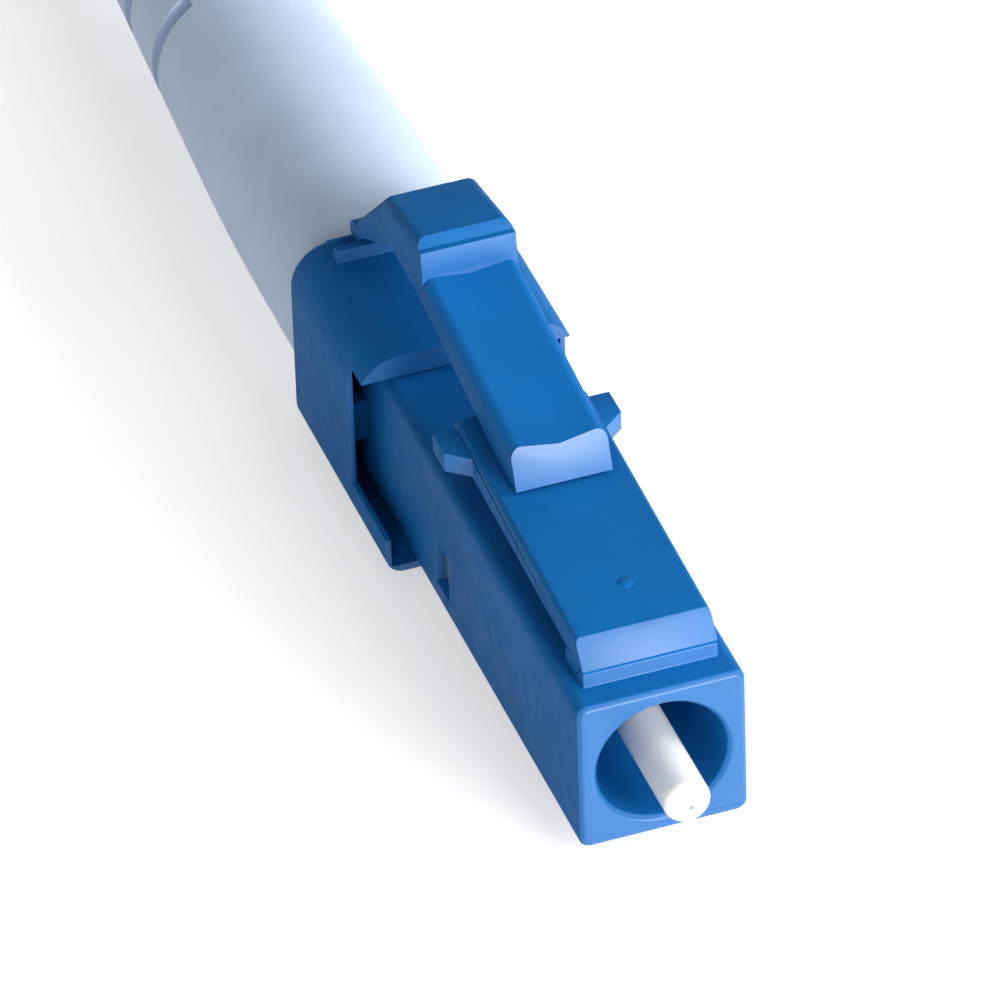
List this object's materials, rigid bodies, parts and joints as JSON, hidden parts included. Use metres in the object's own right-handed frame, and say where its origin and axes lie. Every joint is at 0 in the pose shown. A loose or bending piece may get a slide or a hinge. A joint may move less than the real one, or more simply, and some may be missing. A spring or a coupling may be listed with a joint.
{
  "type": "lc fibre connector",
  "caption": "Small push-pull fibre plug: square nose round a white ceramic ferrule, cantilever latch with side lugs, bridging trigger, rear block and soft tapered boot.",
  "frame": {"origin": "centre of the ferrule's tip, on the fibre axis", "axes": "+Y along the fibre towards the boot, +X across the connector, +Z towards the latch side"},
  "size_m": [0.006, 0.0463, 0.0096],
  "materials": {
    "blue_plastic": "moulded, satin gloss",
    "zirconia": "ground and polished",
    "nickel": "turned, nickel plated",
    "tube_plastic": "extruded, matte",
    "spring_steel": "drawn wire",
    "crimp_metal": "drawn tube, satin",
    "boot_rubber": "moulded, matte"
  },
  "bodies": {
    "housing": {"front_housing": "blue_plastic", "rear_housing": "blue_plastic", "crimp_body": "nickel", "crimp_sleeve": "crimp_metal", "boot": "boot_rubber", "spring": "spring_steel"},
    "trigger": {"trigger": "blue_plastic"},
    "latch": {"latch": "blue_plastic"},
    "ferrule_set": {"ferrule": "zirconia", "ferrule_holder": "nickel", "guide_tube": "tube_plastic"}
  },
  "joints": [
    {"name": "trigger_press", "type": "hinge", "parent": "housing", "child": "trigger", "pos_m": [0, 0.02158, 0.00335], "axis": [1, 0, 0], "range_deg": [0, 2.3], "stiffness_Nm_per_rad": 0.02},
    {"name": "latch_flex", "type": "hinge", "parent": "housing", "child": "latch", "pos_m": [0, 0.00345, 0.00271], "axis": [-1, 0, 0], "range_deg": [0, 4.5], "stiffness_Nm_per_rad": 0.01},
    {"name": "ferrule_float", "type": "slide", "parent": "housing", "child": "ferrule_set", "axis": [0, 1, 0], "range_m": [0, 0.0015], "stiffness_N_per_m": 500, "deforming": ["spring"]}
  ],
  "couplings": [
    {"joint": "latch_flex", "follows": "trigger_press", "ratio": 1.9}
  ]
}
